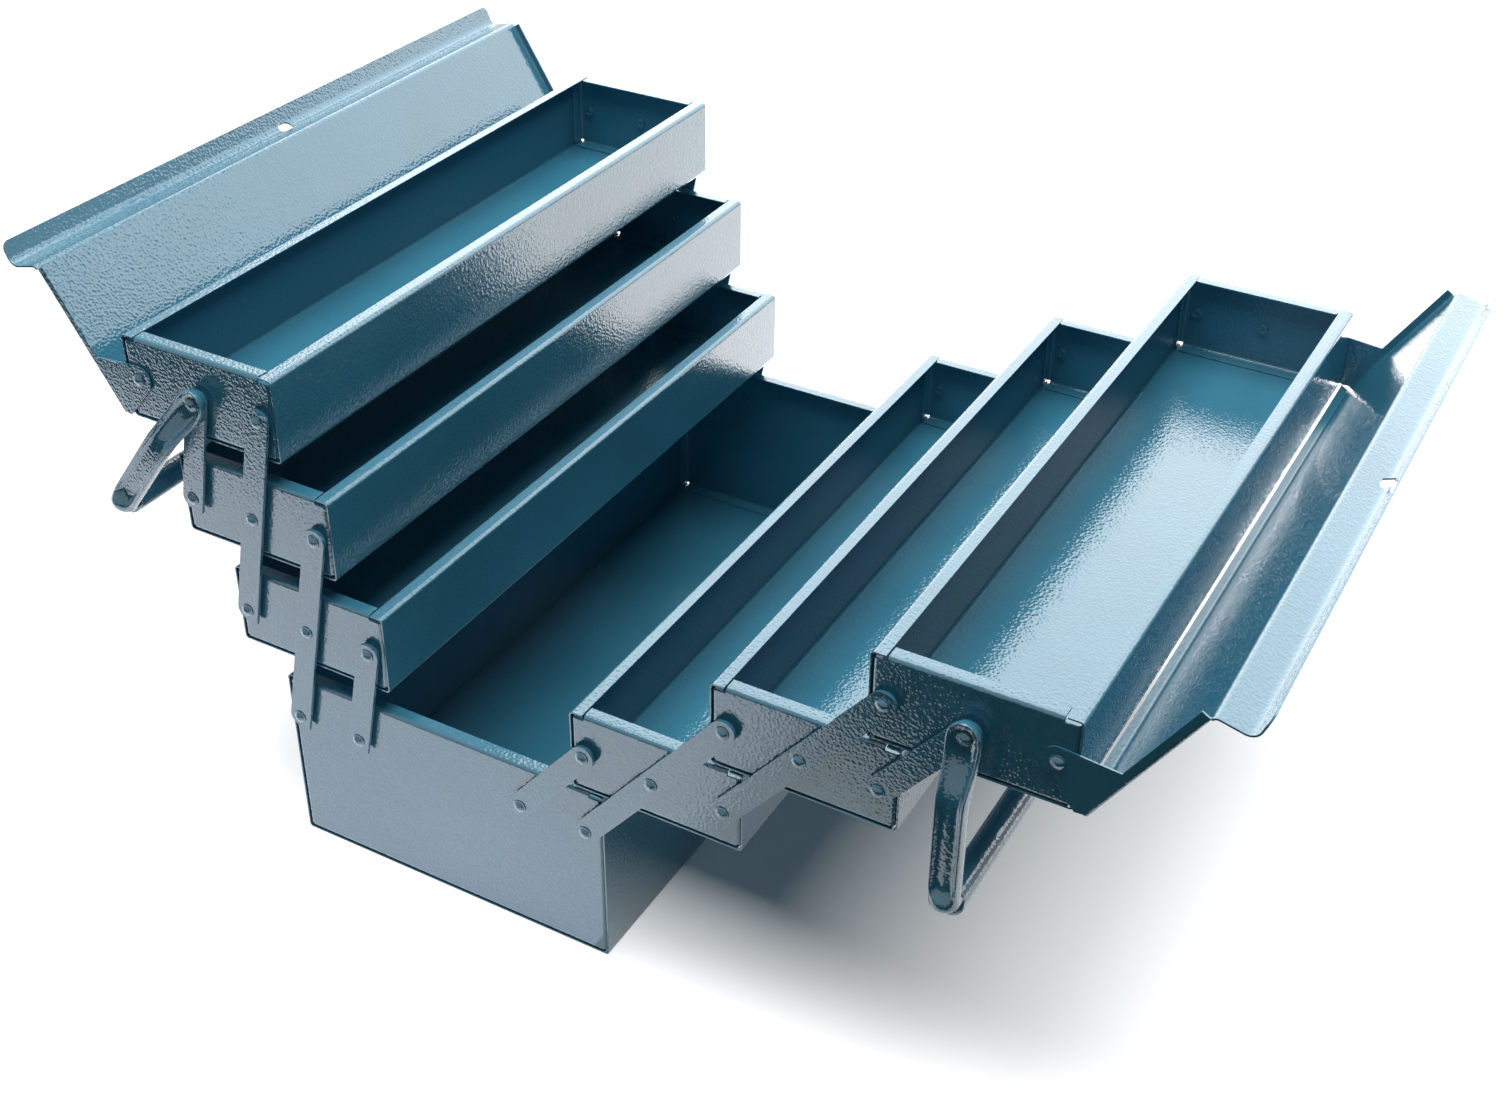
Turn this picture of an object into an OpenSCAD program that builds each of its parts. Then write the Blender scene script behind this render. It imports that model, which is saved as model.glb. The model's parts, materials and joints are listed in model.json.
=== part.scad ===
// Cantilever tool box in painted sheet steel: a base and two stacks of three trays,
// which swing out on flat links, with a lid and a bail handle on each top tray.
// X is the width, Y the length (front end at low Y), Z is up.
// The origin is the centre of the underside of the base.

/* [Box] */
// Width of the base over its walls
box_w = 220; // [200:1:240]
// Length of the base and of the trays over their ends
box_l = 454; // [360:1:500]
// Height of the base
base_h = 119.3; // [100:0.1:140]
// Height of a tray
tray_h = 51.8; // [48:0.1:58]
// Gap between one rim and the tray above it
stack_gap = 1.6; // [1:0.1:3]
// Gap between the two stacks when both are shut
centre_gap = 7.2; // [6:0.1:10]

/* [Sheet] */
// Thickness of the sheet steel
sheet_t = 1; // [0.8:0.1:1.2]
// Inside radius of the folds
fold_r = 1.6; // [1:0.1:2]
// Width of the folded rims
rim_w = 8.3; // [7:0.1:9]
// Depth of the flanges that fix the end panels
flange_w = 10; // [8:0.1:12]
// Step from a rim down to the corner of an end panel
corner_drop = 2.5; // [2:0.1:4]
// Gap between the rim of an end panel and the rims of its pan
rim_space = 1; // [0.5:0.1:2]
// Clearance around an end panel in its pan
panel_fit = 0.1; // [0.05:0.05:0.2]

/* [Links] */
// Distance from a wall to the nearest pivot
pivot_edge = 9.8; // [9:0.1:11]
// Depth of the pivots below the rim
rim_drop = 25.5; // [22:0.1:28]
// Lean of the left links from upright, outward positive
left_lean = -12; // [-30:1:30]
// Width of a link strap
strap_w = 14.5; // [13:0.1:16]
// Thickness of a link strap
strap_t = 2; // [1.5:0.1:2.5]
// Stand off of the straps from the end panels
strap_gap = 2.4; // [2.2:0.1:3]
// Radius of a spacer behind a strap
spacer_r = 5; // [4.5:0.1:6]

/* [Rivets] */
// Radius of a rivet shank
shank_r = 2.5; // [2:0.1:3]
// Radial clearance of a strap on its rivet
pivot_fit = 0.08; // [0.04:0.01:0.1]
// Clearance along a pivot between one part and the next
side_play = 0.1; // [0.1:0.05:0.2]
// Radius of a domed head
head_r = 3.4; // [3.2:0.1:4]
// Height of a domed head
head_h = 1.8; // [1.5:0.1:2.2]
// Radius of the collar under a head
collar_r = 4.1; // [4:0.1:5]
// Thickness of the collar under a head
collar_t = 0.5; // [0.4:0.1:0.8]
// Radius of the rolled tail of a rivet
tail_r = 3.4; // [3.2:0.1:4]
// Height of the rolled tail of a rivet
tail_h = 1.6; // [1.2:0.1:2]
// Radius of the dimple in a rolled tail
dimple_r = 1.4; // [1:0.1:1.8]

/* [Lids] */
// Gap between a shut lid and the rim under it
lid_gap = 2; // [1.5:0.1:3]
// Reach of a lid past the outer wall of its tray
lid_overhang = 6.2; // [5.5:0.1:7]
// Depth of the skirt along the hinge side
skirt_h = 6.2; // [5:0.1:6.5]
// Depth of the flange across each end
lid_flange = 6; // [5:0.1:7]
// Gap between a lid ear and the end of its tray
ear_gap = 0.5; // [0.4:0.1:0.8]
// Radius of an ear around its hinge
ear_r = 8.5; // [8:0.1:9]
// Reach of the ear along the flange from the hinge
ear_run = 20.7; // [18:0.1:24]
// Angle between a shut lid and an open one
lid_swing = 122; // [100:1:122]
// Length of the sloping wall of the lip
lip_wall = 11.6; // [8:0.1:14]
// Angle of the first fold of the lip
lip_rise = 72; // [60:1:85]
// Angle of the second fold of the lip
lip_fall = 82; // [70:1:90]
// Centre radius of the first fold of the lip
lip_foot_r = 3; // [2:0.1:4]
// Centre radius of the second fold of the lip
lip_crown_r = 6; // [4:0.1:7]
// Length of the last straight of the lip
lip_edge = 9; // [6:0.1:11]
// Gap between the two lips when both lids are shut
lip_gap = 1.2; // [1:0.1:2]
// Radius of the corners of the lip
lip_corner = 5; // [3:0.1:8]
// Length of the padlock hole
lock_l = 11; // [9:0.1:14]
// Width of the padlock hole
lock_w = 7; // [6:0.1:8]
// Place of the padlock hole round the second fold, as a share of its angle
lock_share = 0.4; // [0.3:0.05:0.5]

/* [Handles] */
// Radius of the handle tube
tube_r = 8; // [7:0.1:8.3]
// Wall of the handle tube
tube_t = 1.5; // [1:0.1:2]
// Distance from a handle's pivot to the middle of its grip
handle_reach = 103; // [96:1:110]
// Radius of the tube's middle line at the corners
elbow_r = 12; // [10:0.1:16]
// Gap between a handle arm and the rivet heads it passes
arm_gap = 0.4; // [0.3:0.1:1]
// Thickness of the flattened ends
flat_t = 3; // [2.4:0.1:3.6]
// Radius of the flattened ends
flat_r = 9.5; // [8.5:0.1:10]
// Length of the flattened end below its pivot
flat_l = 11; // [10:0.1:14]
// Length of the slope from the flattened end to the round tube
crush_l = 18; // [14:0.1:24]
// Lean of the left handle from hanging, outward positive
left_handle_lean = 37; // [37:1:60]

/* [Hidden] */
$fn = 48;
steel = [0.36, 0.56, 0.62];
link_steel = [0.52, 0.62, 0.68];
rivet_steel = [0.45, 0.58, 0.65];

// Links and levels
level = tray_h + stack_gap;
pivot_pitch = (box_w - centre_gap) / 4 - pivot_edge;
tray_w = 2 * (pivot_edge + pivot_pitch);
link_l = sqrt(pow(pivot_pitch, 2) + pow(level, 2));
full_lean = asin(pivot_pitch / link_l);
right_lean = full_lean;
inner_foot = [box_w / 2 - pivot_edge - pivot_pitch, base_h - rim_drop];
pivot_z = tray_h - rim_drop;
inner_hole = pivot_edge;
middle_hole = pivot_edge + pivot_pitch;
outer_hole = tray_w - pivot_edge;

// Folds and holes
fold_out = fold_r + sheet_t;
fold_mid = fold_r + sheet_t / 2;
hole_r = shank_r + pivot_fit;
// Overlap that joins a straight to a fold that isn't square
lap = 0.01;
// How far a cut runs past what it cuts
cut = 1;
// Level of the top tray of a stack
top_tray = 3;

// Stations along a pivot, counted outward from the end panel
strap_top = strap_gap + strap_t;
strap_reach = strap_top + side_play;
flat_from = strap_top + 2 * side_play;
handle_rivet_reach = flat_from + flat_t + side_play;
lid_reach = ear_gap + sheet_t + side_play;
arm_off = strap_reach + collar_t + head_h + arm_gap + tube_r;

// Lid, drawn shut about its hinge on the right side
lid_z = rim_drop + lid_gap + sheet_t;
skirt_x = pivot_edge + lid_overhang;
lid_l = box_l + 2 * (ear_gap + sheet_t);
ear_end = -ear_run;
lip_end = -(box_w / 2 - pivot_edge - lip_gap / 2);
rise_heading = 180 - lip_rise;
fall_heading = rise_heading + lip_fall;
foot_run = lip_foot_r * sin(lip_rise);
wall_run = -lip_wall * cos(rise_heading);
crown_run = lip_crown_r * (sin(rise_heading) - sin(fall_heading));
edge_run = -lip_edge * cos(fall_heading);
panel_end = lip_end + foot_run + wall_run + crown_run + edge_run;
panel_run = skirt_x - fold_out - panel_end;
wall_top_x = panel_end - foot_run - wall_run;
wall_top_z = lid_z - sheet_t / 2 + lip_foot_r * (1 - cos(lip_rise)) + lip_wall * sin(rise_heading);
lock_turn = lip_fall * lock_share;
lock_heading = rise_heading + lock_turn;
lock_x = wall_top_x + lip_crown_r * (sin(lock_heading) - sin(rise_heading));
lock_z = wall_top_z + lip_crown_r * (cos(rise_heading) - cos(lock_heading));
lock_depth = lock_w - sheet_t;
corner_depth = 2 * (lip_crown_r + lip_edge);

// Where a link's upper end goes, in X and Z, when it leans by an angle
function link_step(lean) = link_l * [sin(lean), cos(lean)];

// Inner pivot of the tray on a level, on the right side
function tray_pivot(n, lean) = inner_foot + [(n - 1) * pivot_pitch, 0] + n * link_step(lean);

// Overlap of a straight with a fold beside it: square folds meet it face to face
function lap_at(turn) = turn % 90 == 0 ? 0 : lap;

// Point on a circle about a centre where the tangent from an outside point touches
function tangent(from, centre, r, side) =
    let (
        d = from - centre,
        dist = norm(d),
        a = atan2(d[1], d[0]) + side * acos(r / dist)
    )
    centre + r * [cos(a), sin(a)];

// Puts a drawing in X and Z on its side as a solid of length l along Y
module along_y(l) {
    rotate([90, 0, 0])
        linear_extrude(l, center = true)
            children();
}

// Puts what is drawn along +Z at a point of the front end panel, pointing outward
module at_front(x, z) {
    translate([x, -box_l / 2, z])
        rotate([90, 0, 0])
            children();
}

// Draws at the front, or at the rear as its mirror image
module at_end(rear) {
    mirror([0, rear ? 1 : 0, 0])
        children();
}

module both_ends() {
    at_end(false) children();
    at_end(true) children();
}

// Draws on the right, or on the left as its mirror image
module on_side(left) {
    mirror([left ? 1 : 0, 0, 0])
        children();
}

// One fold of a strip in profile, from the origin towards +X, turning by an angle
module fold(turn, r) {
    side = sign(turn);
    reach = 2 * (r + sheet_t);
    a = abs(turn);
    mirror([0, side > 0 ? 0 : 1, 0])
        translate([0, r])
            intersection() {
                difference() {
                    circle(r + sheet_t / 2);
                    circle(r - sheet_t / 2);
                }
                polygon([
                    [0, 0],
                    [0, -reach],
                    [reach * tan(a / 2), -reach],
                    reach * [sin(a), -cos(a)]
                ]);
            }
}

// A strip of sheet in profile: each step is a straight, then a fold's angle and mid radius
module strip(steps, i = 0) {
    if (i < len(steps)) {
        run = steps[i][0];
        turn = steps[i][1];
        r = steps[i][2];
        before = i > 0 ? lap_at(steps[i - 1][1]) : 0;
        if (run > 0)
            translate([-before, -sheet_t / 2])
                square([run + before + lap_at(turn), sheet_t]);
        if (turn != 0)
            translate([run, 0])
                fold(turn, r);
        translate([run + r * sin(abs(turn)), sign(turn) * r * (1 - cos(turn))])
            rotate(turn)
                strip(steps, i + 1);
    }
}

// Pan of a tray or of the base: floor, two walls and two rims, from x = 0 and z = 0
module pan(w, h) {
    color(steel)
        along_y(box_l)
            translate([rim_w, h - sheet_t / 2])
                rotate(180)
                    strip([
                        [rim_w - fold_out, 90, fold_mid],
                        [h - 2 * fold_out, 90, fold_mid],
                        [w - 2 * fold_out, 90, fold_mid],
                        [h - 2 * fold_out, 90, fold_mid],
                        [rim_w - fold_out, 0, 0]
                    ]);
}

// Fold and flange along an edge: l long in X, the sheet turning back from y = 0 to y = w
module edge_flange(l, w) {
    rotate([90, 0, 90])
        linear_extrude(l)
            translate([sheet_t / 2, -fold_out])
                rotate(90)
                    strip([[0, -90, fold_mid], [w - fold_out, 0, 0]]);
}

// End panel of a tray or of the base, with a hole at each pivot
module end_panel(w, h, holes) {
    left = sheet_t + panel_fit;
    low = sheet_t + panel_fit;
    shoulder = h - sheet_t - corner_drop;
    rim_from = rim_w + rim_space;
    color(steel)
        translate([0, -box_l / 2, 0]) {
            difference() {
                translate([0, sheet_t, 0])
                    rotate([90, 0, 0])
                        linear_extrude(sheet_t) {
                            translate([left + fold_out, low + fold_out])
                                square([w - 2 * (left + fold_out), shoulder - low - fold_out]);
                            translate([rim_from, low + fold_out])
                                square([w - 2 * rim_from, h - low - 2 * fold_out]);
                        }
                for (p = holes)
                    translate([p[0], -cut, p[1]])
                        rotate([-90, 0, 0])
                            cylinder(r = hole_r, h = sheet_t + 2 * cut);
            }
            translate([rim_from, 0, h])
                edge_flange(w - 2 * rim_from, rim_w);
            translate([left + fold_out, 0, low])
                mirror([0, 0, 1])
                    edge_flange(w - 2 * (left + fold_out), flange_w);
            for (flip = [0, 1])
                translate([flip * w, 0, 0])
                    mirror([flip, 0, 0])
                        translate([left, 0, low + fold_out])
                            rotate([0, -90, 0])
                                edge_flange(shoulder - low - fold_out, flange_w);
        }
}

// Rivet on the front end: rolled tail inside, shank, collar and dome outside
module rivet(x, z, reach) {
    dome_r = (pow(head_r, 2) + pow(head_h, 2)) / (2 * head_h);
    dome_z = reach + collar_t + head_h - dome_r;
    tail_from = -sheet_t - side_play - tail_h;
    color(rivet_steel)
        at_front(x, z) {
            difference() {
                translate([0, 0, tail_from])
                    cylinder(r = tail_r, h = tail_h);
                translate([0, 0, tail_from - cut])
                    cylinder(r = dimple_r, h = tail_h / 2 + cut);
            }
            translate([0, 0, -sheet_t - side_play])
                cylinder(r = shank_r, h = reach + sheet_t + side_play);
            translate([0, 0, reach])
                cylinder(r = collar_r, h = collar_t);
            intersection() {
                translate([0, 0, dome_z])
                    sphere(dome_r);
                translate([0, 0, reach + collar_t + head_h])
                    cube(2 * [collar_r, collar_r, head_h], center = true);
            }
        }
}

// Spacer that holds a strap off the front end panel
module spacer(x, z) {
    color(rivet_steel)
        at_front(x, z)
            difference() {
                cylinder(r = spacer_r, h = strap_gap - side_play);
                translate([0, 0, -cut])
                    cylinder(r = hole_r, h = strap_gap + 2 * cut);
            }
}

// Link strap on the front end, from its foot up, with one hole for each level it joins
module strap(foot, lean, holes, square_side) {
    top = link_l * (holes - 1);
    color(link_steel)
        translate([foot[0], -box_l / 2 - strap_gap, foot[1]])
            rotate([90, lean, 0])
                linear_extrude(strap_t)
                    difference() {
                        union() {
                            translate([-strap_w / 2, 0])
                                square([strap_w, top]);
                            circle(strap_w / 2);
                            translate([0, top])
                                circle(strap_w / 2);
                            translate([square_side > 0 ? 0 : -strap_w / 2, -strap_w / 2])
                                square(strap_w / 2);
                        }
                        for (i = [0 : holes - 1])
                            translate([0, i * link_l])
                                circle(hole_r);
                    }
}

// Foot of each link on the right side: a and b stand on the base, c and d on trays
function link_foot(name, lean) =
    name == "a" ? inner_foot :
    name == "b" ? inner_foot + [pivot_pitch, 0] :
    name == "c" ? tray_pivot(1, lean) + [2 * pivot_pitch, 0] :
    tray_pivot(2, lean) + [2 * pivot_pitch, 0];

module link(name, left, rear) {
    lean = left ? left_lean : right_lean;
    on_side(left)
        at_end(rear)
            strap(link_foot(name, lean), lean, name == "a" || name == "d" ? 2 : 3, left ? -1 : 1);
}

// Places a tray drawn from its own inner bottom corner
module tray_at(n, left) {
    p = tray_pivot(n, left ? left_lean : right_lean);
    on_side(left)
        translate([p[0] - inner_hole, 0, p[1] - pivot_z])
            children();
}

// Places what is drawn about a pivot of a top tray
module top_tray_pivot(left, x) {
    tray_at(top_tray, left)
        translate([x, 0, pivot_z])
            children();
}

module tray_pan(n, left) {
    tray_at(n, left)
        pan(tray_w, tray_h);
}

module tray_end(n, left, rear) {
    tray_at(n, left)
        at_end(rear)
            end_panel(tray_w, tray_h, [for (x = [inner_hole, middle_hole, outer_hole]) [x, pivot_z]]);
}

// Rivets of a tray: a top tray has its lid hinge in place of a third strap
module tray_rivets(n, left) {
    tray_at(n, left)
        both_ends() {
            rivet(inner_hole, pivot_z, strap_reach);
            if (n < top_tray)
                rivet(middle_hole, pivot_z, strap_reach);
            rivet(outer_hole, pivot_z, n < top_tray ? strap_reach : lid_reach);
        }
}

module tray_spacers(n, left) {
    tray_at(n, left)
        both_ends() {
            spacer(inner_hole, pivot_z);
            spacer(middle_hole, pivot_z);
            if (n < top_tray)
                spacer(outer_hole, pivot_z);
        }
}

module base_pan() {
    translate([-box_w / 2, 0, 0])
        pan(box_w, base_h);
}

module base_end(rear) {
    holes = [for (s = [-1, 1], i = [0, 1]) [
        box_w / 2 + s * (inner_foot[0] + i * pivot_pitch),
        inner_foot[1]
    ]];
    at_end(rear)
        translate([-box_w / 2, 0, 0])
            end_panel(box_w, base_h, holes);
}

module base_rivets() {
    both_ends()
        for (s = [-1, 1], i = [0, 1])
            rivet(s * (inner_foot[0] + i * pivot_pitch), inner_foot[1], strap_reach);
}

module base_spacers() {
    both_ends()
        for (s = [-1, 1], i = [0, 1])
            spacer(s * (inner_foot[0] + i * pivot_pitch), inner_foot[1]);
}

// Profile of a shut lid: skirt, panel and lip
module lid_profile() {
    translate([skirt_x - sheet_t / 2, lid_z - skirt_h])
        rotate(90)
            strip([
                [skirt_h - fold_out, 90, fold_mid],
                [panel_run, -lip_rise, lip_foot_r],
                [lip_wall, lip_fall, lip_crown_r],
                [lip_edge, 0, 0]
            ]);
}

// Outline of a lid's end below its fold: the flange and the ear with its hinge hole
module ear_profile() {
    flange_z = lid_z - lid_flange;
    heel = [skirt_x, lid_z - skirt_h];
    toe = [ear_end, flange_z];
    difference() {
        union() {
            translate([panel_end, flange_z])
                square([skirt_x - fold_out - panel_end, lid_flange - fold_out]);
            polygon([
                heel,
                [skirt_x - fold_out, lid_z - fold_out],
                [ear_end, lid_z - fold_out],
                toe,
                tangent(toe, [0, 0], ear_r, 1),
                tangent(heel, [0, 0], ear_r, -1)
            ]);
            circle(ear_r);
        }
        circle(hole_r);
    }
}

// Shut lid of the right side, about its hinge
module shut_lid() {
    fold_y = lid_l / 2 - fold_out;
    difference() {
        along_y(lid_l)
            lid_profile();
        for (s = [-1, 1])
            translate([panel_end, s > 0 ? fold_y : -fold_y - fold_out - cut, lid_z - skirt_h - cut])
                cube([skirt_x + cut - panel_end, fold_out + cut, skirt_h + 2 * cut]);
        for (s = [-1, 1])
            translate([lip_end, s * lid_l / 2, 0])
                difference() {
                    translate([0, 0, wall_top_z])
                        cube([2 * lip_corner, 2 * lip_corner, corner_depth], center = true);
                    translate([lip_corner, -s * lip_corner, 0])
                        cylinder(r = lip_corner, h = wall_top_z + corner_depth);
                }
        translate([lock_x, 0, lock_z])
            rotate([0, 180 - lock_heading, 0])
                for (s = [-1, 1])
                    translate([0, s * (lock_l - lock_w) / 2, 0])
                        cylinder(r = lock_w / 2, h = lock_depth, center = true);
        translate([lock_x, 0, lock_z])
            rotate([0, 180 - lock_heading, 0])
                cube([lock_w, lock_l - lock_w, lock_depth], center = true);
    }
    both_ends() {
        translate([panel_end, -lid_l / 2, lid_z])
            edge_fold(panel_run);
        translate([0, -lid_l / 2 + sheet_t, 0])
            rotate([90, 0, 0])
                linear_extrude(sheet_t)
                    ear_profile();
    }
}

// Fold alone along an edge: l long in X, from the top at y = fold_out down to y = 0
module edge_fold(l) {
    rotate([90, 0, 90])
        linear_extrude(l)
            translate([sheet_t / 2, -fold_out])
                rotate(90)
                    fold(-90, fold_mid);
}

module lid(left) {
    color(steel)
        top_tray_pivot(left, outer_hole)
            rotate([0, lid_swing, 0])
                shut_lid();
}

// Front corner of a hanging handle about its pivot: flattened end, slope, arm and elbow
module handle_corner() {
    front = -box_l / 2;
    slope_z = -flat_l - crush_l;
    arm_z = -handle_reach + elbow_r;
    difference() {
        union() {
            at_front(0, 0)
                translate([0, 0, flat_from])
                    linear_extrude(flat_t) {
                        circle(flat_r);
                        translate([-tube_r, -flat_l])
                            square([2 * tube_r, flat_l]);
                    }
            intersection() {
                translate([0, front - arm_off, slope_z])
                    linear_extrude(crush_l) {
                        circle(tube_r);
                        translate([-tube_r, 0])
                            square([2 * tube_r, arm_off - flat_from]);
                    }
                rotate([90, 0, 90])
                    linear_extrude(2 * tube_r, center = true)
                        polygon([
                            [front - flat_from, -flat_l],
                            [front - flat_from - flat_t, -flat_l],
                            [front - arm_off - tube_r, slope_z],
                            [front - arm_off + tube_r, slope_z]
                        ]);
            }
        }
        at_front(0, 0)
            cylinder(r = hole_r, h = arm_off);
    }
    translate([0, front - arm_off, arm_z])
        linear_extrude(slope_z - arm_z)
            tube_profile();
    translate([0, front - arm_off + elbow_r, arm_z])
        rotate([0, 90, 180])
            rotate_extrude(angle = 90)
                translate([elbow_r, 0])
                    tube_profile();
}

module tube_profile() {
    difference() {
        circle(tube_r);
        circle(tube_r - tube_t);
    }
}

module handle(left) {
    grip_l = box_l + 2 * (arm_off - elbow_r);
    color(steel)
        top_tray_pivot(left, middle_hole)
            rotate([0, left ? -left_handle_lean : 0, 0]) {
                both_ends()
                    handle_corner();
                translate([0, 0, -handle_reach])
                    along_y(grip_l)
                        tube_profile();
            }
}

module handle_rivets(left) {
    top_tray_pivot(left, middle_hole)
        both_ends()
            rivet(0, 0, handle_rivet_reach);
}

base_pan();
base_end(false);  // base_end_front
base_end(true);  // base_end_rear
base_rivets();
base_spacers();
tray_pan(1, true);  // tray_1_left_pan
tray_end(1, true, false);  // tray_1_left_end_front
tray_end(1, true, true);  // tray_1_left_end_rear
tray_rivets(1, true);  // tray_1_left_rivets
tray_spacers(1, true);  // tray_1_left_spacers
tray_pan(2, true);  // tray_2_left_pan
tray_end(2, true, false);  // tray_2_left_end_front
tray_end(2, true, true);  // tray_2_left_end_rear
tray_rivets(2, true);  // tray_2_left_rivets
tray_spacers(2, true);  // tray_2_left_spacers
tray_pan(3, true);  // tray_3_left_pan
tray_end(3, true, false);  // tray_3_left_end_front
tray_end(3, true, true);  // tray_3_left_end_rear
tray_rivets(3, true);  // tray_3_left_rivets
tray_spacers(3, true);  // tray_3_left_spacers
tray_pan(1, false);  // tray_1_right_pan
tray_end(1, false, false);  // tray_1_right_end_front
tray_end(1, false, true);  // tray_1_right_end_rear
tray_rivets(1, false);  // tray_1_right_rivets
tray_spacers(1, false);  // tray_1_right_spacers
tray_pan(2, false);  // tray_2_right_pan
tray_end(2, false, false);  // tray_2_right_end_front
tray_end(2, false, true);  // tray_2_right_end_rear
tray_rivets(2, false);  // tray_2_right_rivets
tray_spacers(2, false);  // tray_2_right_spacers
tray_pan(3, false);  // tray_3_right_pan
tray_end(3, false, false);  // tray_3_right_end_front
tray_end(3, false, true);  // tray_3_right_end_rear
tray_rivets(3, false);  // tray_3_right_rivets
tray_spacers(3, false);  // tray_3_right_spacers
link("a", true, false);  // link_a_left_front
link("a", true, true);  // link_a_left_rear
link("b", true, false);  // link_b_left_front
link("b", true, true);  // link_b_left_rear
link("c", true, false);  // link_c_left_front
link("c", true, true);  // link_c_left_rear
link("d", true, false);  // link_d_left_front
link("d", true, true);  // link_d_left_rear
link("a", false, false);  // link_a_right_front
link("a", false, true);  // link_a_right_rear
link("b", false, false);  // link_b_right_front
link("b", false, true);  // link_b_right_rear
link("c", false, false);  // link_c_right_front
link("c", false, true);  // link_c_right_rear
link("d", false, false);  // link_d_right_front
link("d", false, true);  // link_d_right_rear
lid(true);  // lid_left
lid(false);  // lid_right
handle(true);  // handle_left
handle(false);  // handle_right
handle_rivets(true);  // handle_rivets_left
handle_rivets(false);  // handle_rivets_right
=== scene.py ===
"""Cantilever tool box in glossy hammered paint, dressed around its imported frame.

Every sheet, strap and rivet is finished as a painted piece, the two bail handles are modelled
with their flattened ends and folded corners, and a plain studio stage holds camera and lamps.
"""

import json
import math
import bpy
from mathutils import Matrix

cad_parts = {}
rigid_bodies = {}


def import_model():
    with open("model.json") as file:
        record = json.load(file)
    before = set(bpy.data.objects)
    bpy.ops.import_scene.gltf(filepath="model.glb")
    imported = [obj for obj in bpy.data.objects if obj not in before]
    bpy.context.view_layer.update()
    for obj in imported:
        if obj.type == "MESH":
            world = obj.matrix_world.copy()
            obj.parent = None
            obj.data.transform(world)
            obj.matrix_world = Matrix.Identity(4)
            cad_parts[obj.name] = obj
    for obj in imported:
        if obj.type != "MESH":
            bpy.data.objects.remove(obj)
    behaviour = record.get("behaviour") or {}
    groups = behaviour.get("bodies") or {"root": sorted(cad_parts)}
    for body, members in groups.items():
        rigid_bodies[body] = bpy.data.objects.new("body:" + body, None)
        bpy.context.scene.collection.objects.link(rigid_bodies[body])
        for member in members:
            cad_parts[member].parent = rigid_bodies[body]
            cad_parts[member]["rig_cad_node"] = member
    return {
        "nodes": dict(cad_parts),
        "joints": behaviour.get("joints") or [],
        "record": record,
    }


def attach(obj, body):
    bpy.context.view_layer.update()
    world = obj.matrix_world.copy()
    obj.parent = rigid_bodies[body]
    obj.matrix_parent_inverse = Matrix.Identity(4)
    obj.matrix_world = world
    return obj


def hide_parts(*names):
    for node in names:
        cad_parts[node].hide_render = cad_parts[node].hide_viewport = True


bl_info = {
    "name": "Cantilever Tool Box",
    "version": (1, 0, 0),
    "blender": (4, 5, 0),
    "location": "View3D > Sidebar > Tool Box",
    "description": "Paints the tool box, models its handles and sets up a studio stage",
    "category": "Object",
}

import bmesh
import bpy
from bpy.props import FloatProperty, FloatVectorProperty, PointerProperty
from mathutils import Vector

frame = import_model()

MM = 0.001
BODY_OF = {node: body for body, nodes in frame["record"]["behaviour"]["bodies"].items() for node in nodes}
JOINTS = {joint["name"]: joint for joint in frame["joints"]}

# Painted sheets: what counts as one point, one flat face, one curve and a floor
MERGE = 0.001 * MM
FLAT_TURN = math.radians(0.2)
SMOOTH_TURN = math.radians(30)
FLOOR_NORMAL = 0.97

# Paint: patches of thicker and thinner paint, and how soft the dimples' edges are
CLOUDS_PER_METRE = 14
CLOUD_EDGES = (0.3, 0.7)
DIMPLE_SOFTNESS = 0.6

# Handle tube: points around it, steps along a corner and along half of its fold
NEAR = 0.01 * MM
RING = 32
RING_TURN = 2 * math.pi / RING
CORNER_STEPS = 12
FOLD_STEPS = 4
# Shares in which the first half of the grip is drawn out
GRIP_SHARES = (0.5, 0.48, 0.02)
# Depth of the groove from its middle to the tube's side, where the tube swells a little
GROOVE_SHARES = (1, 1, 0.95, 0.75, 0.3, -0.25, -0.35, -0.1)
# Groove of an arm: height over the corner or below the slope, and share of the full depth
GROOVE_START = ((3 * MM, 0.2), (6 * MM, 1.15), (13 * MM, 1))
GROOVE_FINISH = ((10 * MM, 1.1), (0, 1.3))
# Depth to which the outside is pressed in halfway up the slope
SLOPE_DISH = 5.2 * MM
# Round top of a flattened end: turn from its rivet in degrees, and share of the dish's depth
END_TOP = ((28, 1), (50, 0.9), (66, 0.4), (80, 0))

# Floor under the box, where its glow is left out so that it stays darker as painted shadow besides the lamps'
# real shadow: middle, half its sides, and how fast it ends
SHADOW_MIDDLE = (0.1, 0, 0)
SHADOW_HALF = (0.07, 0.14, 0)
SHADOW_FALL = (1, 2.5, 0)
SHADOW_FADE = 0.25
FLOOR_GLOW = 0.9
NOTHING = (0, 0, 0)

# Lamps: where each stands, what it looks at, and its two sides
KEY_LAMP = {"place": (0.1, 0.15, 2.1), "aim": (0.1, 0, 0.1), "sides": (1.9, 1.9)}
BACK_LAMP = {"place": (0.1, 2.1, 1.35), "aim": (0.1, 0.5, 0), "sides": (4.4, 2)}
BACK_FLOOR_LAMP = {"place": (0.5, 1.3, 0.003), "aim": (0.5, 1.3, 1), "sides": (2.6, 1.9)}
FRONT_FLOOR_LAMP = {"place": (-0.4, -0.4, 0.003), "aim": (-0.4, -0.4, 1), "sides": (1, 0.36)}
FRONT_FLOOR_TINT = (0.8, 0.95, 1.2)
# Black cards that lie on the floor before the box, painted shade seen only in the gloss and in bounced light
SHADE_CARDS = {
    "shade_card": {"place": (0.57, -0.94, 0.002), "sides": (2.4, 1.2), "turn": math.radians(26.6)},
    "shade_card_left": {"place": (-0.75, -1.2, 0.002), "sides": (1.6, 1.24), "turn": 0},
}


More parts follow.
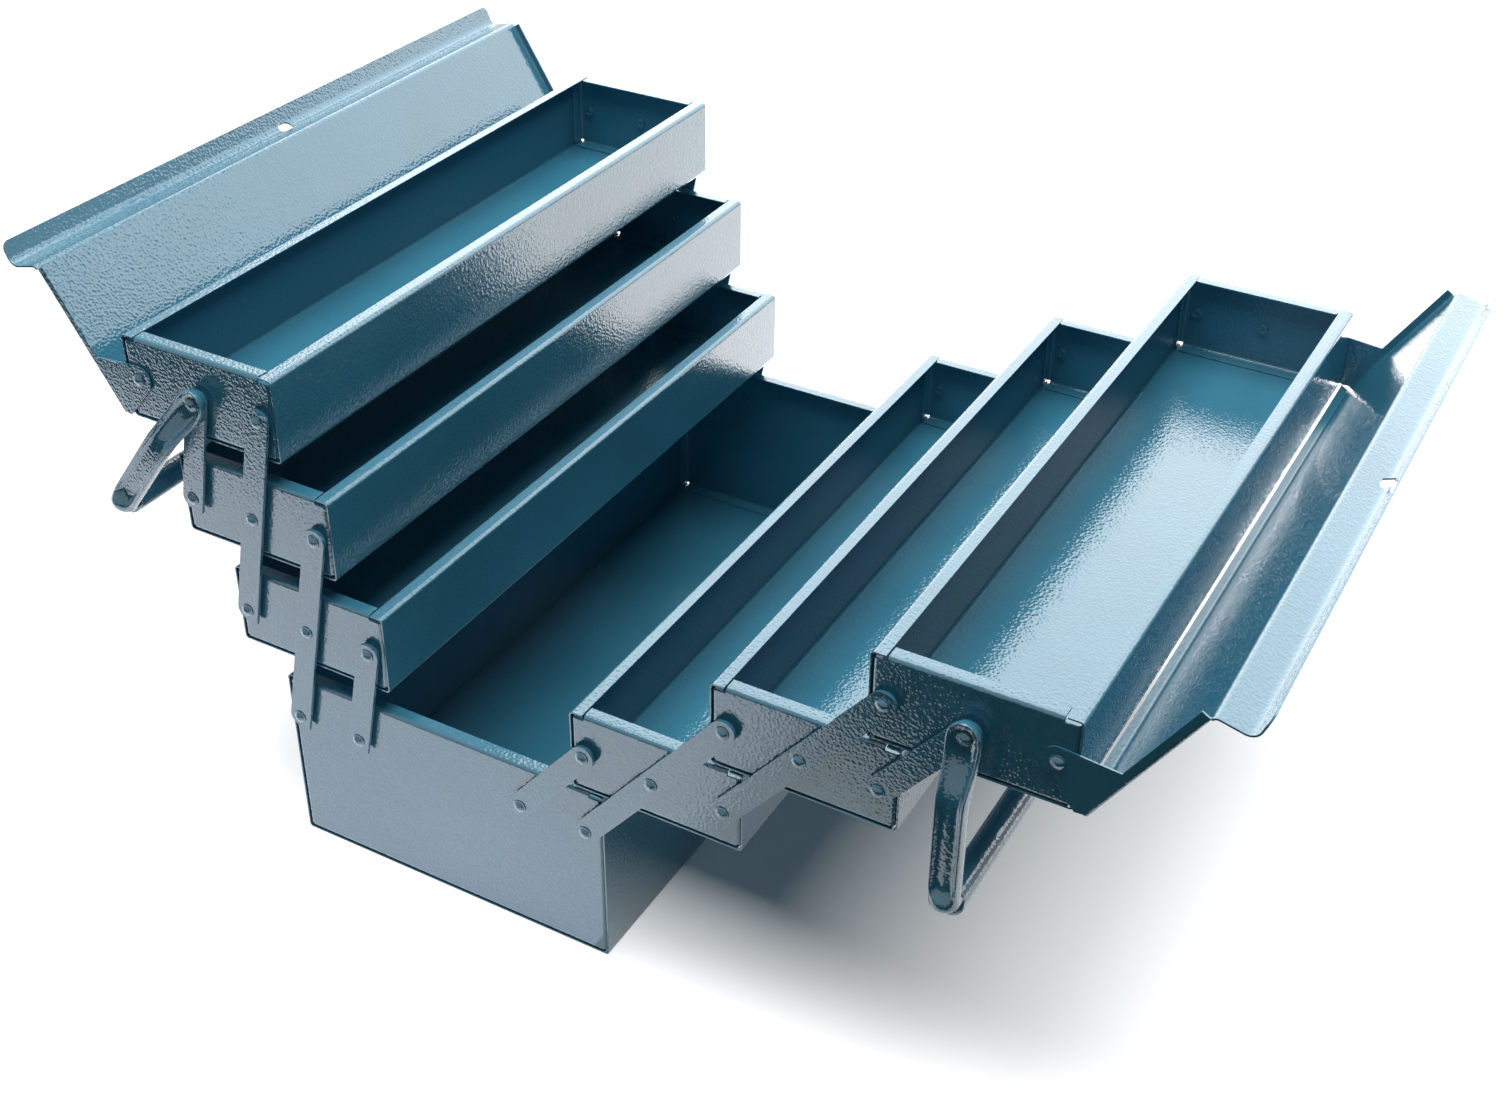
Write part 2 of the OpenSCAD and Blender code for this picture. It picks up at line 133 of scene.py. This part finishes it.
class PaintProps(bpy.types.PropertyGroup):
    """Colours and texture of the paint."""

    sheet_colour: FloatVectorProperty(
        name="Sheet colour", description="Colour of the paint where it lies thin",
        subtype="COLOR", size=3, default=(0.052, 0.235, 0.345), min=0, max=1,
    )
    deep_colour: FloatVectorProperty(
        name="Deep colour", description="Colour of the paint where it lies thicker",
        subtype="COLOR", size=3, default=(0.042, 0.205, 0.305), min=0, max=1,
    )
    flake: FloatProperty(
        name="Flake", description="Strength of the soft gloss of the flake under the clear gloss",
        default=0.15, min=0, max=1, subtype="FACTOR",
    )
    flake_roughness: FloatProperty(
        name="Flake roughness", description="Roughness of the flake under the gloss",
        default=0.2, min=0, max=1, subtype="FACTOR",
    )
    gloss_roughness: FloatProperty(
        name="Gloss roughness", description="Roughness of the clear gloss on top",
        default=0.05, min=0, max=1, subtype="FACTOR",
    )
    gloss_index: FloatProperty(
        name="Gloss index", description="Refractive index of the clear gloss on top",
        default=1.56, min=1.3, max=2.5,
    )
    # Painted shade: the walls inside a pan get this darker colour and a weak gloss, which stand in for the
    # shade that falls inside the pans.
    inside_shade_colour: FloatVectorProperty(
        name="Inside colour", description="Colour of the walls inside a pan",
        subtype="COLOR", size=3, default=(0.037, 0.165, 0.245), min=0, max=1,
    )
    inside_gloss: FloatProperty(
        name="Inside gloss", description="Strength of both glosses on the walls inside a pan",
        default=0.02, min=0, max=1, subtype="FACTOR",
    )
    dimple_size: FloatProperty(
        name="Dimple size", description="Distance between two dimples of the hammered paint",
        default=1.75 * MM, min=0.5 * MM, max=6 * MM, subtype="DISTANCE", unit="LENGTH", precision=5,
    )
    dimple_depth: FloatProperty(
        name="Dimple depth", description="Depth of the dimples",
        default=0.15 * MM, min=0, max=0.6 * MM, subtype="DISTANCE", unit="LENGTH", precision=6,
    )
    grain_size: FloatProperty(
        name="Grain size", description="Size of the fine grain between the dimples",
        default=0.7 * MM, min=0.2 * MM, max=2 * MM, subtype="DISTANCE", unit="LENGTH", precision=5,
    )
    grain_depth: FloatProperty(
        name="Grain depth", description="Depth of the fine grain",
        default=0.006 * MM, min=0, max=0.1 * MM, subtype="DISTANCE", unit="LENGTH", precision=6,
    )


class SheetProps(bpy.types.PropertyGroup):
    """Rounding of the paint over the edges of the metal."""

    edge_round: FloatProperty(
        name="Edge rounding", description="Radius of the paint over a cut edge",
        default=0.22 * MM, min=0.05 * MM, max=0.45 * MM, subtype="DISTANCE", unit="LENGTH", precision=5,
    )
    rivet_round: FloatProperty(
        name="Rivet rounding", description="Radius of the paint over the edges of a rivet",
        default=0.4 * MM, min=0.05 * MM, max=0.45 * MM, subtype="DISTANCE", unit="LENGTH", precision=5,
    )
    edge_angle: FloatProperty(
        name="Edge angle", description="Angle above which an edge is rounded",
        default=math.radians(38), min=math.radians(20), max=math.radians(80), subtype="ANGLE",
    )


class HandleProps(bpy.types.PropertyGroup):
    """Shape of the bail handles, whose reach and length come from the frame."""

    tube_radius: FloatProperty(
        name="Tube radius", description="Outer radius of the handle tube",
        default=8 * MM, min=6 * MM, max=8.3 * MM, subtype="DISTANCE", unit="LENGTH", precision=5,
    )
    corner_radius: FloatProperty(
        name="Corner radius", description="Radius of the tube's middle line at the corners",
        default=9.6 * MM, min=9 * MM, max=16 * MM, subtype="DISTANCE", unit="LENGTH", precision=5,
    )
    corner_fold: FloatProperty(
        name="Corner fold", description="Share of the tube's thickness that is left in the fold of a corner",
        default=0.2, min=0.1, max=1, subtype="FACTOR",
    )
    groove: FloatProperty(
        name="Groove", description="Depth of the groove pressed along the outside of an arm",
        default=4.6 * MM, min=0, max=6 * MM, subtype="DISTANCE", unit="LENGTH", precision=5,
    )
    end_radius: FloatProperty(
        name="End radius", description="Radius of a flattened end around its rivet",
        default=9.5 * MM, min=8.5 * MM, max=10 * MM, subtype="DISTANCE", unit="LENGTH", precision=5,
    )
    end_rim: FloatProperty(
        name="End rim", description="Height of the rim that stays around a flattened end",
        default=6 * MM, min=3.5 * MM, max=7 * MM, subtype="DISTANCE", unit="LENGTH", precision=5,
    )
    end_metal: FloatProperty(
        name="End metal", description="Thickness of the flattened end at its rivet",
        default=2.9 * MM, min=2 * MM, max=3 * MM, subtype="DISTANCE", unit="LENGTH", precision=5,
    )
    end_length: FloatProperty(
        name="End length", description="Length of the flattened end below its rivet",
        default=11 * MM, min=10 * MM, max=14 * MM, subtype="DISTANCE", unit="LENGTH", precision=5,
    )
    end_step: FloatProperty(
        name="End step", description="Step from the back of an arm in to the back of its flattened end",
        default=2.6 * MM, min=1 * MM, max=3 * MM, subtype="DISTANCE", unit="LENGTH", precision=5,
    )
    slope_length: FloatProperty(
        name="Slope length", description="Length from the flattened end to the round tube",
        default=18 * MM, min=14 * MM, max=24 * MM, subtype="DISTANCE", unit="LENGTH", precision=5,
    )
    lean: FloatProperty(
        name="Lean", description="Lean of the left handle from hanging, outward positive",
        default=math.radians(37), min=math.radians(30), max=math.radians(60), subtype="ANGLE",
    )


class StageProps(bpy.types.PropertyGroup):
    """Floor, lamps and camera."""

    floor_size: FloatProperty(
        name="Floor size", description="Side of the floor",
        default=9, min=2, max=40, subtype="DISTANCE", unit="LENGTH",
    )
    camera_place: FloatVectorProperty(
        name="Camera place", description="Where the camera stands",
        subtype="TRANSLATION", size=3, default=(0.5666, -0.8919, 0.8367), unit="LENGTH",
    )
    camera_turn: FloatVectorProperty(
        name="Camera turn", description="Tilt, roll and heading of the camera", subtype="EULER", size=3,
        default=(math.radians(56.837), math.radians(-0.617), math.radians(29.201)),
    )
    lens: FloatProperty(
        name="Lens", description="Focal length on a 36 mm wide sensor",
        default=46.96, min=20, max=200, subtype="DISTANCE_CAMERA",
    )
    lens_shift: FloatVectorProperty(
        name="Lens shift", description="Shift of the lens, as shares of the frame's width",
        size=2, default=(-0.0009, -0.0296),
    )
    key_power: FloatProperty(
        name="Key power", description="Power of the large soft lamp above",
        default=48, min=0, max=500, subtype="POWER", unit="POWER",
    )
    back_power: FloatProperty(
        name="Back power", description="Power of the wide lamp behind the box",
        default=88, min=0, max=500, subtype="POWER", unit="POWER",
    )
    back_floor_power: FloatProperty(
        name="Back floor power", description="Power of the lamp that lies on the floor behind the box",
        default=25, min=0, max=500, subtype="POWER", unit="POWER",
    )
    front_floor_power: FloatProperty(
        name="Front floor power", description="Power of the lamp that lies on the floor before the box",
        default=1.1, min=0, max=500, subtype="POWER", unit="POWER",
    )
    room_light: FloatProperty(
        name="Room light", description="Strength of the light that comes from all round",
        default=0.105, min=0, max=2,
    )


def start_alone():
    """Leaves edit mode and deselects everything."""
    if bpy.context.object and bpy.context.object.mode != "OBJECT":
        bpy.ops.object.mode_set(mode="OBJECT")
    bpy.ops.object.select_all(action="DESELECT")


def select_only(piece):
    """Makes a piece the only one selected, and the active one."""
    start_alone()
    piece.select_set(True)
    bpy.context.view_layer.objects.active = piece


def add_node(tree, kind, **values):
    """A shader node with input values set by socket name and other settings by attribute."""
    made = tree.nodes.new(kind)
    for name, value in values.items():
        if name in made.inputs:
            made.inputs[name].default_value = value
        else:
            setattr(made, name, value)
    return made


def hammered_paint(name, colour, deep, flake, gloss):
    """Flake paint under a clear gloss, with hammered dimples and a fine grain, made once for a name."""
    made = bpy.data.materials.get(name)
    if made:
        return made
    paint = bpy.context.scene.tool_box_paint
    material = bpy.data.materials.new(name)
    material.use_nodes = True
    tree = material.node_tree
    link = tree.links.new
    shader = tree.nodes["Principled BSDF"]
    shader.inputs["Specular IOR Level"].default_value = flake
    shader.inputs["Roughness"].default_value = paint.flake_roughness
    shader.inputs["Coat Weight"].default_value = gloss
    shader.inputs["Coat Roughness"].default_value = paint.gloss_roughness
    shader.inputs["Coat IOR"].default_value = paint.gloss_index
    place = add_node(tree, "ShaderNodeTexCoord")

    cloud = add_node(tree, "ShaderNodeTexNoise", Scale=CLOUDS_PER_METRE, Detail=3, Roughness=0.5)
    tints = add_node(tree, "ShaderNodeValToRGB")
    for stop, edge, tint in zip(tints.color_ramp.elements, CLOUD_EDGES, (deep, colour)):
        stop.position = edge
        stop.color = (*tint, 1)
    link(place.outputs["Object"], cloud.inputs["Vector"])
    link(cloud.outputs["Fac"], tints.inputs["Fac"])
    link(tints.outputs["Color"], shader.inputs["Base Color"])

    dimples = add_node(tree, "ShaderNodeTexVoronoi", feature="SMOOTH_F1", Scale=1 / paint.dimple_size)
    dimples.inputs["Smoothness"].default_value = DIMPLE_SOFTNESS
    grain = add_node(tree, "ShaderNodeTexNoise", Scale=1 / paint.grain_size, Detail=2)
    fine = add_node(tree, "ShaderNodeBump", Strength=1, Distance=paint.grain_depth)
    hammered = add_node(tree, "ShaderNodeBump", Strength=1, Distance=paint.dimple_depth)
    link(place.outputs["Object"], dimples.inputs["Vector"])
    link(place.outputs["Object"], grain.inputs["Vector"])
    link(grain.outputs["Fac"], fine.inputs["Height"])
    link(dimples.outputs["Distance"], hammered.inputs["Height"])
    link(fine.outputs["Normal"], hammered.inputs["Normal"])
    link(hammered.outputs["Normal"], shader.inputs["Normal"])
    link(hammered.outputs["Normal"], shader.inputs["Coat Normal"])
    return material


def sheet_paint():
    """Paint of the whole box but for the walls inside its pans."""
    paint = bpy.context.scene.tool_box_paint
    return hammered_paint("hammered_sheet", paint.sheet_colour, paint.deep_colour, paint.flake, 1)


def inside_shade_paint():
    """Painted shade on the walls inside a pan: a darker colour that hardly shines, for the shade that falls
    there.
    """
    paint = bpy.context.scene.tool_box_paint
    colour = paint.inside_shade_colour
    return hammered_paint("hammered_inside_shade", colour, colour, paint.inside_gloss, paint.inside_gloss)


def paint_inside_shade(piece):
    """Gives the walls and folds that face the middle of a pan the darker inside paint, which is painted
    shade.
    """
    corners = [Vector(corner) for corner in piece.bound_box]
    middle = sum(corners, Vector()) / len(corners)
    piece.data.materials.append(inside_shade_paint())
    for face in piece.data.polygons:
        upright = abs(face.normal.z) < FLOOR_NORMAL
        if upright and face.normal.dot(middle - face.center) > 0:
            face.material_index = 1


def dress(piece, node):
    """Gives a piece the paint, and lets it ride on the node's body."""
    piece.data.materials.clear()
    piece.data.materials.append(sheet_paint())
    if "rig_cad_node" not in piece:
        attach(piece, BODY_OF[node])


def painted_copy(node, radius):
    """A merged copy of a CAD node with the paint rounded over its edges, which stands for it."""
    source = frame["nodes"][node]
    piece = source.copy()
    piece.data = source.data.copy()
    for key in list(piece.keys()):
        if key.startswith("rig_"):
            del piece[key]
    piece.parent = None
    piece.name = node + "_painted"
    bpy.context.scene.collection.objects.link(piece)
    select_only(piece)
    bpy.ops.object.mode_set(mode="EDIT")
    bpy.ops.mesh.select_all(action="SELECT")
    bpy.ops.mesh.remove_doubles(threshold=MERGE)
    bpy.ops.mesh.dissolve_limited(angle_limit=FLAT_TURN)
    bpy.ops.object.mode_set(mode="OBJECT")
    rounding = piece.modifiers.new("edge_rounding", "BEVEL")
    rounding.width = radius
    rounding.segments = 2
    rounding.limit_method = "ANGLE"
    rounding.angle_limit = bpy.context.scene.tool_box_sheet.edge_angle
    rounding.use_clamp_overlap = True
    bpy.ops.object.modifier_apply(modifier=rounding.name)
    bpy.ops.object.shade_smooth_by_angle(angle=SMOOTH_TURN)
    flats = piece.modifiers.new("flat_faces", "WEIGHTED_NORMAL")
    flats.keep_sharp = True
    bpy.ops.object.modifier_apply(modifier=flats.name)
    dress(piece, node)
    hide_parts(node)
    return piece


class TOOLBOX_OT_sheets(bpy.types.Operator):
    """Paint the pans, end panels and lids, with rounded paint over their cut edges and painted shade on the
    walls inside the pans
    """

    bl_idname = "tool_box.sheets"
    bl_label = "Paint the Sheets"

    def execute(self, context):
        radius = context.scene.tool_box_sheet.edge_round
        for node in frame["nodes"]:
            if node.endswith("_pan"):
                paint_inside_shade(painted_copy(node, radius))
            elif "_end_" in node or node.startswith("lid_"):
                painted_copy(node, radius)
        return {"FINISHED"}


class TOOLBOX_OT_links(bpy.types.Operator):
    """Paint the link straps"""

    bl_idname = "tool_box.links"
    bl_label = "Paint the Links"

    def execute(self, context):
        for node in frame["nodes"]:
            if node.startswith("link_"):
                painted_copy(node, context.scene.tool_box_sheet.edge_round)
        return {"FINISHED"}


class TOOLBOX_OT_rivets(bpy.types.Operator):
    """Paint the rivets, with rounded paint over their edges, and the spacers behind the straps"""

    bl_idname = "tool_box.rivets"
    bl_label = "Paint the Rivets"

    def execute(self, context):
        for node, piece in frame["nodes"].items():
            if "rivets" in node:
                painted_copy(node, context.scene.tool_box_sheet.rivet_round)
            elif "spacers" in node:
                dress(piece, node)
        return {"FINISHED"}


def choose(piece, keep):
    """Selects only the vertices in edit mode that pass a test."""
    mesh = bmesh.from_edit_mesh(piece.data)
    for vert in mesh.verts:
        vert.select = keep(vert)
    mesh.select_flush_mode()
    bmesh.update_edit_mesh(piece.data)


class TOOLBOX_OT_handles(bpy.types.Operator):
    """Model the two bail handles with their flattened ends, grooved arms and folded corners"""

    bl_idname = "tool_box.handles"
    bl_label = "Model the Handles"

    def execute(self, context):
        sizes = context.scene.tool_box_handle
        solid = frame["nodes"]["handle_right"]
        corners = [solid.matrix_world @ Vector(corner) for corner in solid.bound_box]
        pivot = Vector(JOINTS["right_handle"]["pos_m"])
        self.reach = pivot.z - min(corner.z for corner in corners) - sizes.tube_radius
        self.arm_y = min(corner.y for corner in corners) + sizes.tube_radius
        right = self.hanging_handle(sizes)
        left = right.copy()
        left.data = right.data.copy()
        context.scene.collection.objects.link(left)
        self.place(right, "right", 0)
        self.place(left, "left", sizes.lean)
        return {"FINISHED"}

    def hanging_handle(self, sizes):
        """A handle that hangs from a pivot at the origin, modelled at the front and mirrored."""
        start_alone()
        bpy.ops.mesh.primitive_circle_add(
            vertices=RING, radius=sizes.tube_radius,
            location=(0, 0, -self.reach), rotation=(math.pi / 2, 0, 0),
        )
        piece = bpy.context.object
        bpy.ops.object.transform_apply(location=True, rotation=True, scale=True)
        bpy.ops.object.mode_set(mode="EDIT")
        bpy.ops.mesh.select_mode(type="VERT")
        bpy.ops.mesh.select_all(action="SELECT")
        corner_y = self.arm_y + sizes.corner_radius
        corner_z = -self.reach + sizes.corner_radius
        for share in GRIP_SHARES:
            bpy.ops.mesh.extrude_region_move(TRANSFORM_OT_translate={"value": (0, corner_y * share, 0)})
        bpy.ops.mesh.spin(
            steps=CORNER_STEPS, angle=math.pi / 2, center=(0, corner_y, corner_z), axis=(1, 0, 0)
        )
        self.arm(piece, sizes, corner_z)
        self.fold_corner(piece, sizes, corner_y, corner_z)
        bpy.ops.object.mode_set(mode="OBJECT")
        mirror = piece.modifiers.new("other_end", "MIRROR")
        mirror.use_axis = (False, True, False)
        mirror.merge_threshold = NEAR
        bpy.ops.object.modifier_apply(modifier=mirror.name)
        bpy.ops.object.mode_set(mode="EDIT")
        bpy.ops.mesh.select_all(action="SELECT")
        bpy.ops.mesh.normals_make_consistent(inside=False)
        bpy.ops.object.mode_set(mode="OBJECT")
        smooth = piece.modifiers.new("smooth", "SUBSURF")
        smooth.levels = 1
        bpy.ops.object.modifier_apply(modifier=smooth.name)
        bpy.ops.object.shade_smooth()
        return piece

    def arm(self, piece, sizes, corner_z):
        """Draws the arm up from the corner, grooved along its outside, and flattens it round the rivet."""
        width = 2 * sizes.tube_radius
        end_width = 2 * sizes.end_radius
        slope_z = -sizes.end_length - sizes.slope_length
        back = self.arm_y + sizes.tube_radius
        flat_back = back + sizes.end_step
        dish = sizes.end_rim - sizes.end_metal
        grooves = [(corner_z + over, share) for over, share in GROOVE_START]
        grooves += [(slope_z - below, share) for below, share in GROOVE_FINISH]
        # A station is a height, a width, a thickness, the back, and how deep the outside is pressed in
        stations = [(height, width, width, back, share * sizes.groove) for height, share in grooves]
        stations += [
            (slope_z + sizes.slope_length / 2, 1.05 * width, 0.7 * width, (back + flat_back) / 2, SLOPE_DISH),
            (-sizes.end_length, 0.96 * end_width, 1.15 * sizes.end_rim, flat_back, 1.1 * dish),
            (-0.4 * sizes.end_length, end_width, sizes.end_rim, flat_back, dish),
            (0, end_width, sizes.end_rim, flat_back, dish),
        ]
        for turn, share in END_TOP:
            angle = math.radians(turn)
            height = sizes.end_radius * math.sin(angle)
            stations.append((height, end_width * math.cos(angle), sizes.end_rim, flat_back, share * dish))
        level, half, thick, middle, sunk = corner_z, width / 2, width, self.arm_y, 0
        for next_level, next_width, next_thick, next_back, sink in stations:
            bpy.ops.mesh.extrude_region_move(TRANSFORM_OT_translate={"value": (0, 0, next_level - level)})
            bpy.ops.transform.resize(
                value=(next_width / 2 / half, next_thick / thick, 1), center_override=(0, middle, next_level)
            )
            next_middle = next_back - next_thick / 2
            bpy.ops.transform.translate(value=(0, next_middle - middle, 0))
            deeper = sink - sunk * next_thick / thick
            level, half, thick, middle, sunk = next_level, next_width / 2, next_thick, next_middle, sink
            self.press_in(piece, level, half, deeper)
        bpy.ops.mesh.edge_face_add()

    def press_in(self, piece, level, half, deeper):
        """Presses the outside of the ring at a level in, and leaves the ring selected."""
        for column, share in enumerate(GROOVE_SHARES):
            across = half * math.sin(column * RING_TURN)
            choose(piece, lambda vert: abs(vert.co.z - level) < NEAR and abs(abs(vert.co.x) - across) < NEAR)
            ring = bmesh.from_edit_mesh(piece.data)
            back = max(vert.co.y for vert in ring.verts if vert.select)
            choose(piece, lambda vert: vert.select and vert.co.y < back - NEAR)
            bpy.ops.transform.translate(value=(0, share * deeper, 0))
        choose(piece, lambda vert: abs(vert.co.z - level) < NEAR)

    def fold_corner(self, piece, sizes, corner_y, corner_z):
        """Folds the corner as in a bent straw: the tube is pressed flat towards the inside of the bend."""
        middle = CORNER_STEPS // 2
        pressed = 1 - sizes.corner_fold
        inside = sizes.corner_radius - sizes.tube_radius
        for offset in range(-FOLD_STEPS + 1, FOLD_STEPS):
            angle = (middle + offset) * math.pi / 2 / CORNER_STEPS
            press = pressed * (1 - abs(offset) / FOLD_STEPS)
            for column in range(RING // 2 + 1):
                turn = column * RING_TURN
                across = sizes.tube_radius * math.sin(turn)
                spread = sizes.corner_radius - sizes.tube_radius * math.cos(turn)
                spot = Vector((0, corner_y - spread * math.sin(angle), corner_z - spread * math.cos(angle)))
                choose(piece, lambda vert: (
                    abs(abs(vert.co.x) - across) < NEAR
                    and abs(vert.co.y - spot.y) < NEAR and abs(vert.co.z - spot.z) < NEAR
                ))
                move = press * (spread - inside) / math.sqrt(2)
                bpy.ops.transform.translate(value=(0, move, move))

    def place(self, piece, side, lean):
        """Turns a handle about its pivot, takes it to its tray and puts it in the CAD handle's place."""
        node = "handle_" + side
        select_only(piece)
        piece.name = node + "_tube"
        bpy.ops.object.mode_set(mode="EDIT")
        bpy.ops.mesh.select_all(action="SELECT")
        bpy.ops.transform.rotate(value=-lean, orient_axis="Y", center_override=(0, 0, 0))
        bpy.ops.transform.translate(value=JOINTS[side + "_handle"]["pos_m"])
        bpy.ops.object.mode_set(mode="OBJECT")
        dress(piece, node)
        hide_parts(node)


def white_rays(tree):
    """An output that is 1 for what is seen directly, in a gloss or through something, and else 0."""
    ray = add_node(tree, "ShaderNodeLightPath")
    seen = add_node(tree, "ShaderNodeMath", operation="MAXIMUM")
    lit = add_node(tree, "ShaderNodeMath", operation="MAXIMUM")
    tree.links.new(ray.outputs["Is Camera Ray"], seen.inputs[0])
    tree.links.new(ray.outputs["Is Glossy Ray"], seen.inputs[1])
    tree.links.new(seen.outputs["Value"], lit.inputs[0])
    tree.links.new(ray.outputs["Is Transmission Ray"], lit.inputs[1])
    return lit.outputs["Value"]


def floor_finish():
    """Near-white floor that turns white away from the box and leaves its glow out under it, a painted shadow
    besides the lamps' real soft shadow.
    """
    material = bpy.data.materials.new("studio_floor")
    material.use_nodes = True
    tree = material.node_tree
    link = tree.links.new
    shader = tree.nodes["Principled BSDF"]
    shader.inputs["Base Color"].default_value = (0.86, 0.86, 0.87, 1)
    shader.inputs["Roughness"].default_value = 0.9
    shader.inputs["Specular IOR Level"].default_value = 0.1
    spot = add_node(tree, "ShaderNodeTexCoord").outputs["Object"]
    steps = (
        ("SUBTRACT", SHADOW_MIDDLE), ("ABSOLUTE", NOTHING), ("SUBTRACT", SHADOW_HALF),
        ("MULTIPLY", SHADOW_FALL), ("MAXIMUM", NOTHING),
    )
    for operation, value in steps:
        step = add_node(tree, "ShaderNodeVectorMath", operation=operation)
        step.inputs[1].default_value = value
        link(spot, step.inputs[0])
        spot = step.outputs["Vector"]
    distance = add_node(tree, "ShaderNodeVectorMath", operation="LENGTH")
    fade = add_node(tree, "ShaderNodeMapRange")
    for name, value in (("From Min", 0), ("From Max", SHADOW_FADE), ("To Min", 0), ("To Max", FLOOR_GLOW)):
        fade.inputs[name].default_value = value
    share = add_node(tree, "ShaderNodeMath", operation="MULTIPLY")
    glow = add_node(tree, "ShaderNodeEmission", Strength=1)
    both = add_node(tree, "ShaderNodeAddShader")
    link(spot, distance.inputs[0])
    link(distance.outputs["Value"], fade.inputs["Value"])
    link(white_rays(tree), share.inputs[0])
    link(fade.outputs["Result"], share.inputs[1])
    link(share.outputs["Value"], glow.inputs["Strength"])
    link(shader.outputs["BSDF"], both.inputs[0])
    link(glow.outputs["Emission"], both.inputs[1])
    link(both.outputs["Shader"], tree.nodes["Material Output"].inputs["Surface"])
    return material


def soft_lamp(name, power, place, aim, sides):
    """A large soft lamp that looks at a point and isn't seen itself."""
    start_alone()
    bpy.ops.object.light_add(type="AREA", location=place)
    lamp = bpy.context.object
    lamp.name = name
    lamp.data.shape = "RECTANGLE"
    lamp.data.size, lamp.data.size_y = sides
    lamp.data.energy = power
    lamp.visible_camera = False
    lamp.rotation_euler = (Vector(aim) - Vector(place)).to_track_quat("-Z", "Y").to_euler()
    return lamp


def gloss_lamp(name, power, place, aim, sides):
    """A soft lamp that shows only in the gloss."""
    lamp = soft_lamp(name, power, place, aim, sides)
    lamp.visible_diffuse = False
    return lamp


class TOOLBOX_OT_stage(bpy.types.Operator):
    """Set up the floor, the lamps, the white surroundings and the camera"""

    bl_idname = "tool_box.stage"
    bl_label = "Set the Stage"

    def execute(self, context):
        stage = context.scene.tool_box_stage
        context.scene.view_settings.view_transform = "Standard"
        start_alone()
        bpy.ops.mesh.primitive_plane_add(size=stage.floor_size)
        floor = context.object
        floor.name = "studio_floor"
        floor.data.materials.append(floor_finish())
        soft_lamp("key_lamp", stage.key_power, **KEY_LAMP)
        gloss_lamp("back_lamp", stage.back_power, **BACK_LAMP)
        gloss_lamp("back_floor_lamp", stage.back_floor_power, **BACK_FLOOR_LAMP)
        front = gloss_lamp("front_floor_lamp", stage.front_floor_power, **FRONT_FLOOR_LAMP)
        front.data.color = FRONT_FLOOR_TINT
        for name, card in SHADE_CARDS.items():
            self.shade_card(name, **card)
        self.surround(context, stage)
        self.place_camera(context, stage)
        return {"FINISHED"}

    def shade_card(self, name, place, sides, turn):
        """Black card on the floor, out of the camera's sight and casting no shadow, for contrast in the
        gloss: a painted dark reflection that stands in for the shade before the box.
        """
        start_alone()
        bpy.ops.mesh.primitive_plane_add(size=1, location=place)
        card = bpy.context.object
        card.name = name
        card.scale = (*sides, 1)
        card.rotation_euler[2] = turn
        material = bpy.data.materials.new("shade_card")
        material.use_nodes = True
        black = material.node_tree.nodes["Principled BSDF"]
        black.inputs["Base Color"].default_value = (0.01, 0.01, 0.012, 1)
        black.inputs["Specular IOR Level"].default_value = 0
        card.data.materials.append(material)
        card.visible_camera = False
        card.visible_shadow = False

    def surround(self, context, stage):
        """White to the camera and in the gloss, and dimmer as light on the object."""
        world = context.scene.world or bpy.data.worlds.new("studio")
        context.scene.world = world
        world.use_nodes = True
        tree = world.node_tree
        tree.nodes.clear()
        link = tree.links.new
        light = add_node(tree, "ShaderNodeBackground", Color=(1, 1, 1, 1), Strength=stage.room_light)
        white = add_node(tree, "ShaderNodeBackground", Color=(1, 1, 1, 1), Strength=1)
        mix = add_node(tree, "ShaderNodeMixShader")
        out = add_node(tree, "ShaderNodeOutputWorld")
        link(white_rays(tree), mix.inputs["Fac"])
        link(light.outputs["Background"], mix.inputs[1])
        link(white.outputs["Background"], mix.inputs[2])
        link(mix.outputs["Shader"], out.inputs["Surface"])

    def place_camera(self, context, stage):
        """The camera stands where the photograph was taken from."""
        start_alone()
        bpy.ops.object.camera_add(location=stage.camera_place, rotation=stage.camera_turn)
        camera = context.object
        camera.name = "photo_camera"
        camera.data.sensor_fit = "HORIZONTAL"
        camera.data.sensor_width = 36
        camera.data.lens = stage.lens
        camera.data.shift_x, camera.data.shift_y = stage.lens_shift
        camera.data.clip_start = 0.05
        camera.data.clip_end = 50
        context.scene.camera = camera


OPERATORS = (
    TOOLBOX_OT_stage, TOOLBOX_OT_sheets, TOOLBOX_OT_links, TOOLBOX_OT_rivets, TOOLBOX_OT_handles,
)
PROPERTY_GROUPS = {
    "tool_box_paint": PaintProps, "tool_box_sheet": SheetProps,
    "tool_box_handle": HandleProps, "tool_box_stage": StageProps,
}


class TOOLBOX_PT_panel(bpy.types.Panel):
    """Lists the sizes and colours, and the steps that build the tool box"""

    bl_idname = "TOOLBOX_PT_panel"
    bl_label = "Tool Box"
    bl_space_type = "VIEW_3D"
    bl_region_type = "UI"
    bl_category = "Tool Box"

    def draw(self, context):
        for name, group in PROPERTY_GROUPS.items():
            box = self.layout.box()
            for field in group.__annotations__:
                box.prop(getattr(context.scene, name), field)
        for operator in OPERATORS:
            self.layout.operator(operator.bl_idname)


CLASSES = (*PROPERTY_GROUPS.values(), *OPERATORS, TOOLBOX_PT_panel)


def register():
    """Registers the classes and hangs the property groups on the scene."""
    for cls in CLASSES:
        bpy.utils.register_class(cls)
    for name, group in PROPERTY_GROUPS.items():
        setattr(bpy.types.Scene, name, PointerProperty(type=group))


def unregister():
    """Takes the property groups and the classes away again."""
    for name in PROPERTY_GROUPS:
        delattr(bpy.types.Scene, name)
    for cls in reversed(CLASSES):
        bpy.utils.unregister_class(cls)


def main():
    """Builds the stage and every piece."""
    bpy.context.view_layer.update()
    register()
    for operator in OPERATORS:
        getattr(bpy.ops.tool_box, operator.bl_idname.split(".")[1])()


if __name__ == "__main__":
    main()
